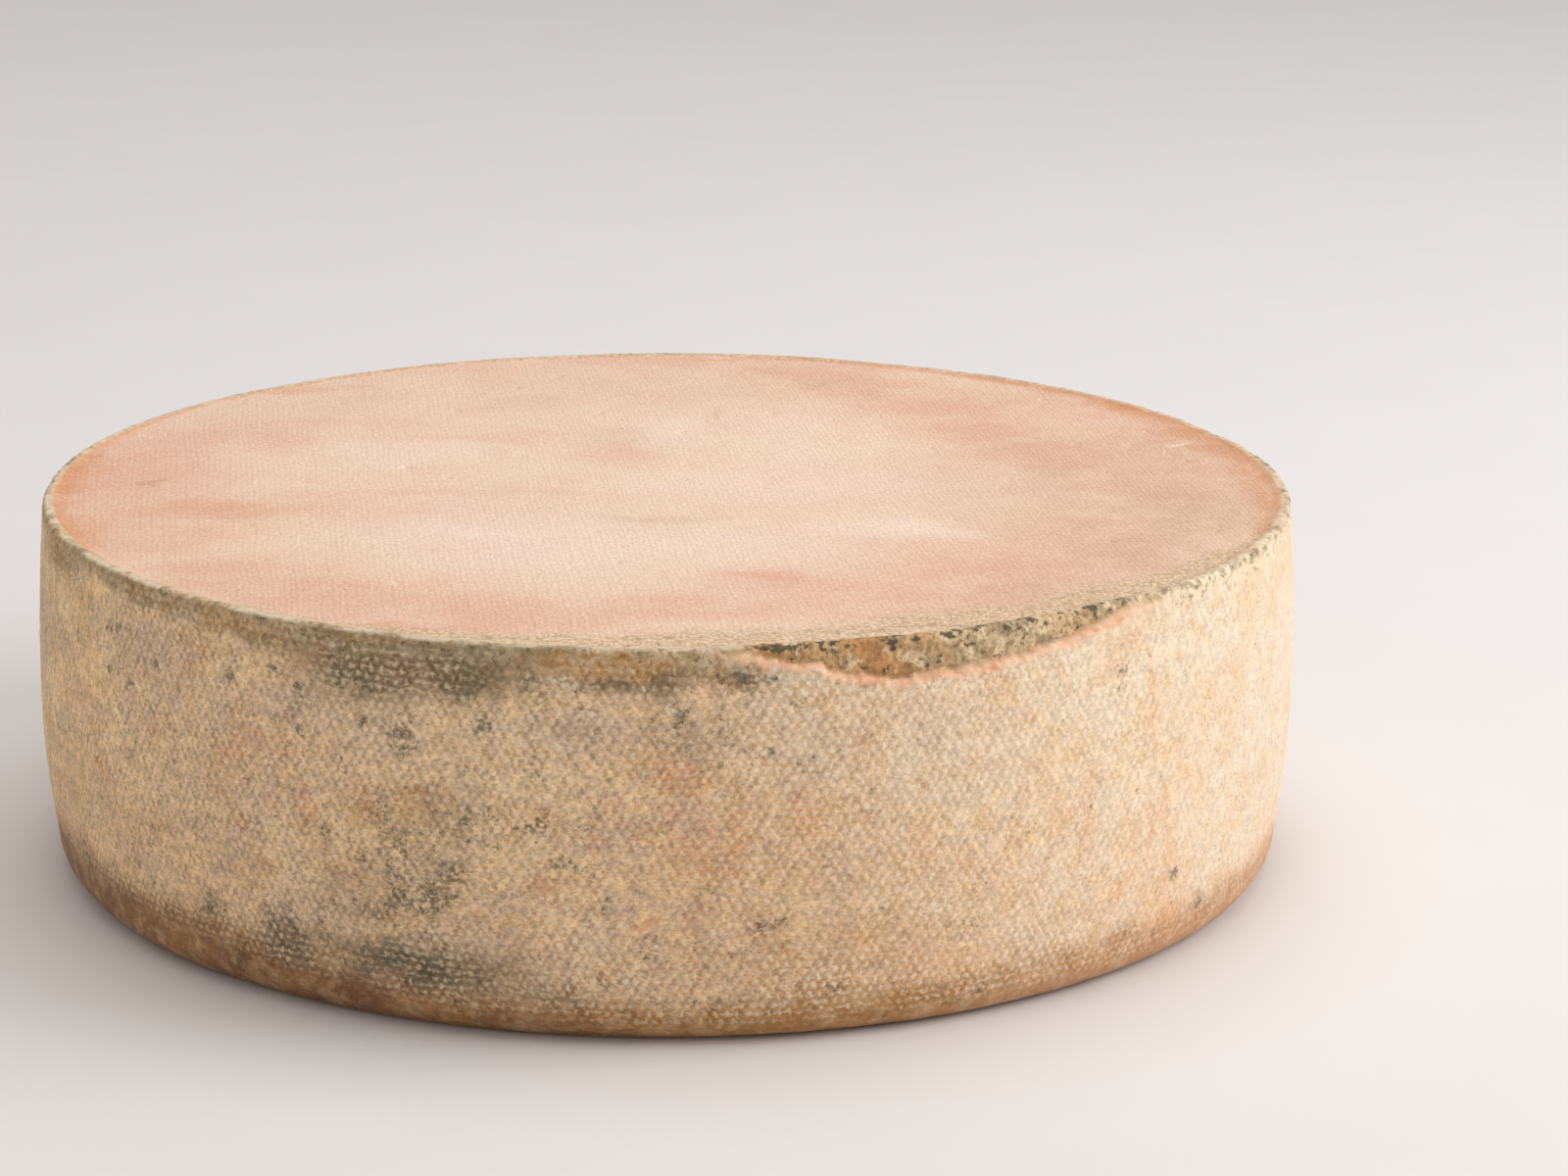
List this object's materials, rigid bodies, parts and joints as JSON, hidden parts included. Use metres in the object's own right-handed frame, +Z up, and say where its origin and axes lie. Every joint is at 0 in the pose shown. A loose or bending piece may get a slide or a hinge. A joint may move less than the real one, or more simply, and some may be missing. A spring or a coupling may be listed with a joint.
{
  "type": "cheese wheel",
  "caption": "Whole ripened cheese wheel: a low drum with a slightly bulged side, a cloth-printed natural rind, a flat top and base, and a folded, cracked stretch of rim.",
  "frame": {"origin": "centre of the flat lower face that the wheel rests on", "axes": "+Z up along the wheel's axis; -Y is the front; the rim's fold is on the front right, between -Y and +X"},
  "size_m": [0.3, 0.3, 0.088],
  "materials": {
    "rind": "dry matte cheese rind, cloth-printed, with mould specks and rosy patches"
  },
  "bodies": {
    "root": {"cheese_wheel": "rind"}
  },
  "joints": []
}
